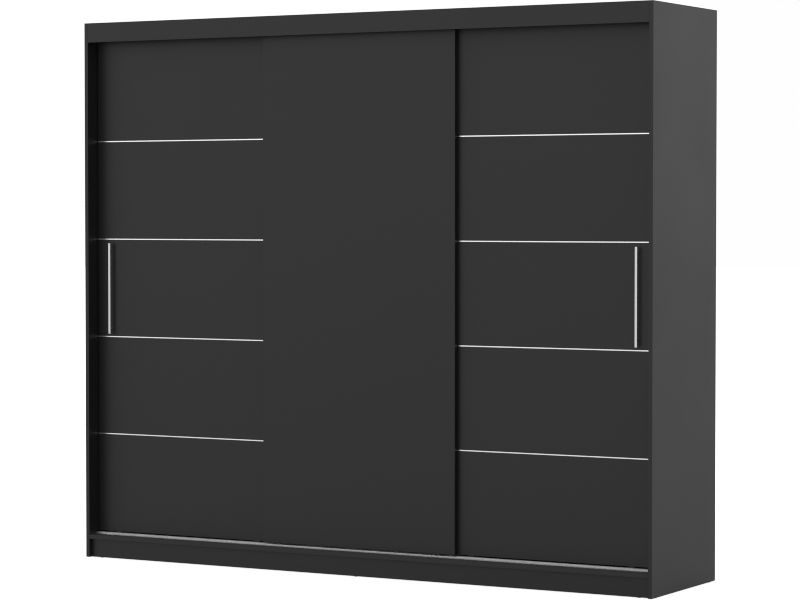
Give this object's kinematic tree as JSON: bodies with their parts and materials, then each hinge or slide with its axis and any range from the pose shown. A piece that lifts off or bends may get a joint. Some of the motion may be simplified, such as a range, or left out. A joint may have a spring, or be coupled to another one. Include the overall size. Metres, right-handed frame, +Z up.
{
  "type": "sliding door wardrobe",
  "caption": "Wide dark wardrobe with plain sliding doors on overlapping tracks, thin horizontal metal trim strips, slim vertical bar handles, shelves and hanging rails.",
  "frame": {"origin": "on the floor under the middle of the wardrobe's outline", "axes": "+X along the width to the right seen from the front, +Y from the front to the back, +Z up"},
  "size_m": [2.5, 0.58, 2.154],
  "materials": {
    "aluminium": "bright anodised",
    "chrome": "polished tube",
    "dark_plastic": "moulded, matte",
    "hardboard": "thin fibreboard, smooth",
    "laminate": "black laminate, satin",
    "steel": "zinc plated",
    "white_plastic": "moulded, matte",
    "zinc": "die cast"
  },
  "bodies": {
    "cabinet": {"back_panel_left": "hardboard", "back_panel_middle": "hardboard", "back_panel_right": "hardboard", "bottom_panel": "laminate", "bottom_track": "aluminium", "cam_dowels": "steel", "cam_locks": "zinc", "fixing_screws": "steel", "floor_glides": "dark_plastic", "front_fascia": "laminate", "front_plinth": "laminate", "left_hanging_rail": "chrome", "left_partition": "laminate", "left_side_panel": "laminate", "left_top_shelf": "laminate", "middle_shelf_1": "laminate", "middle_shelf_2": "laminate", "middle_shelf_3": "laminate", "middle_shelf_4": "laminate", "plinth_supports": "laminate", "rail_brackets": "chrome", "rear_plinth": "laminate", "right_hanging_rail": "chrome", "right_partition": "laminate", "right_side_panel": "laminate", "right_top_shelf": "laminate", "shelf_pins": "steel", "top_panel": "laminate", "top_track": "aluminium", "wall_brackets": "steel"},
    "left_door": {"left_door_guide_blocks": "dark_plastic", "left_door_handle_bar": "aluminium", "left_door_handle_posts": "aluminium", "left_door_panel": "laminate", "left_door_roller_axles": "steel", "left_door_roller_housings": "dark_plastic", "left_door_trim_strips": "aluminium"},
    "left_door_guide_roller_1": {"left_door_guide_roller_1": "white_plastic"},
    "left_door_guide_roller_2": {"left_door_guide_roller_2": "white_plastic"},
    "left_door_wheel_1": {"left_door_wheel_1": "dark_plastic"},
    "left_door_wheel_2": {"left_door_wheel_2": "dark_plastic"},
    "middle_door": {"middle_door_guide_blocks": "dark_plastic", "middle_door_panel": "laminate", "middle_door_roller_axles": "steel", "middle_door_roller_housings": "dark_plastic"},
    "middle_door_guide_roller_1": {"middle_door_guide_roller_1": "white_plastic"},
    "middle_door_guide_roller_2": {"middle_door_guide_roller_2": "white_plastic"},
    "middle_door_wheel_1": {"middle_door_wheel_1": "dark_plastic"},
    "middle_door_wheel_2": {"middle_door_wheel_2": "dark_plastic"},
    "right_door": {"right_door_guide_blocks": "dark_plastic", "right_door_handle_bar": "aluminium", "right_door_handle_posts": "aluminium", "right_door_panel": "laminate", "right_door_roller_axles": "steel", "right_door_roller_housings": "dark_plastic", "right_door_trim_strips": "aluminium"},
    "right_door_guide_roller_1": {"right_door_guide_roller_1": "white_plastic"},
    "right_door_guide_roller_2": {"right_door_guide_roller_2": "white_plastic"},
    "right_door_wheel_1": {"right_door_wheel_1": "dark_plastic"},
    "right_door_wheel_2": {"right_door_wheel_2": "dark_plastic"}
  },
  "joints": [
    {"name": "left_door_slide", "type": "slide", "parent": "cabinet", "child": "left_door", "axis": [1, 0, 0], "range_m": [0, 0.725]},
    {"name": "middle_door_slide", "type": "slide", "parent": "cabinet", "child": "middle_door", "axis": [1, 0, 0], "range_m": [-0.725, 0.735]},
    {"name": "right_door_slide", "type": "slide", "parent": "cabinet", "child": "right_door", "axis": [1, 0, 0], "range_m": [-0.735, 0]},
    {"name": "left_door_wheel_1_spin", "type": "hinge", "parent": "left_door", "child": "left_door_wheel_1", "pos_m": [-1.137, -0.21525, 0.11115], "axis": [0, 1, 0], "continuous": true},
    {"name": "left_door_wheel_2_spin", "type": "hinge", "parent": "left_door", "child": "left_door_wheel_2", "pos_m": [-0.477, -0.21525, 0.11115], "axis": [0, 1, 0], "continuous": true},
    {"name": "middle_door_wheel_1_spin", "type": "hinge", "parent": "middle_door", "child": "middle_door_wheel_1", "pos_m": [-0.3345, -0.23825, 0.11115], "axis": [0, 1, 0], "continuous": true},
    {"name": "middle_door_wheel_2_spin", "type": "hinge", "parent": "middle_door", "child": "middle_door_wheel_2", "pos_m": [0.3255, -0.23825, 0.11115], "axis": [0, 1, 0], "continuous": true},
    {"name": "right_door_wheel_1_spin", "type": "hinge", "parent": "right_door", "child": "right_door_wheel_1", "pos_m": [0.477, -0.21525, 0.11115], "axis": [0, 1, 0], "continuous": true},
    {"name": "right_door_wheel_2_spin", "type": "hinge", "parent": "right_door", "child": "right_door_wheel_2", "pos_m": [1.137, -0.21525, 0.11115], "axis": [0, 1, 0], "continuous": true},
    {"name": "left_door_guide_roller_1_spin", "type": "hinge", "parent": "left_door", "child": "left_door_guide_roller_1", "pos_m": [-1.137, -0.21525, 2.128], "axis": [0, 0, 1], "continuous": true},
    {"name": "left_door_guide_roller_2_spin", "type": "hinge", "parent": "left_door", "child": "left_door_guide_roller_2", "pos_m": [-0.477, -0.21525, 2.128], "axis": [0, 0, 1], "continuous": true},
    {"name": "middle_door_guide_roller_1_spin", "type": "hinge", "parent": "middle_door", "child": "middle_door_guide_roller_1", "pos_m": [-0.3345, -0.23825, 2.128], "axis": [0, 0, 1], "continuous": true},
    {"name": "middle_door_guide_roller_2_spin", "type": "hinge", "parent": "middle_door", "child": "middle_door_guide_roller_2", "pos_m": [0.3255, -0.23825, 2.128], "axis": [0, 0, 1], "continuous": true},
    {"name": "right_door_guide_roller_1_spin", "type": "hinge", "parent": "right_door", "child": "right_door_guide_roller_1", "pos_m": [0.477, -0.21525, 2.128], "axis": [0, 0, 1], "continuous": true},
    {"name": "right_door_guide_roller_2_spin", "type": "hinge", "parent": "right_door", "child": "right_door_guide_roller_2", "pos_m": [1.137, -0.21525, 2.128], "axis": [0, 0, 1], "continuous": true}
  ],
  "couplings": [
    {"joint": "left_door_wheel_1_spin", "follows": "left_door_slide", "rad_per_m": 76.046},
    {"joint": "left_door_wheel_2_spin", "follows": "left_door_slide", "rad_per_m": 76.046},
    {"joint": "middle_door_wheel_1_spin", "follows": "middle_door_slide", "rad_per_m": 76.046},
    {"joint": "middle_door_wheel_2_spin", "follows": "middle_door_slide", "rad_per_m": 76.046},
    {"joint": "right_door_wheel_1_spin", "follows": "right_door_slide", "rad_per_m": 76.046},
    {"joint": "right_door_wheel_2_spin", "follows": "right_door_slide", "rad_per_m": 76.046}
  ]
}
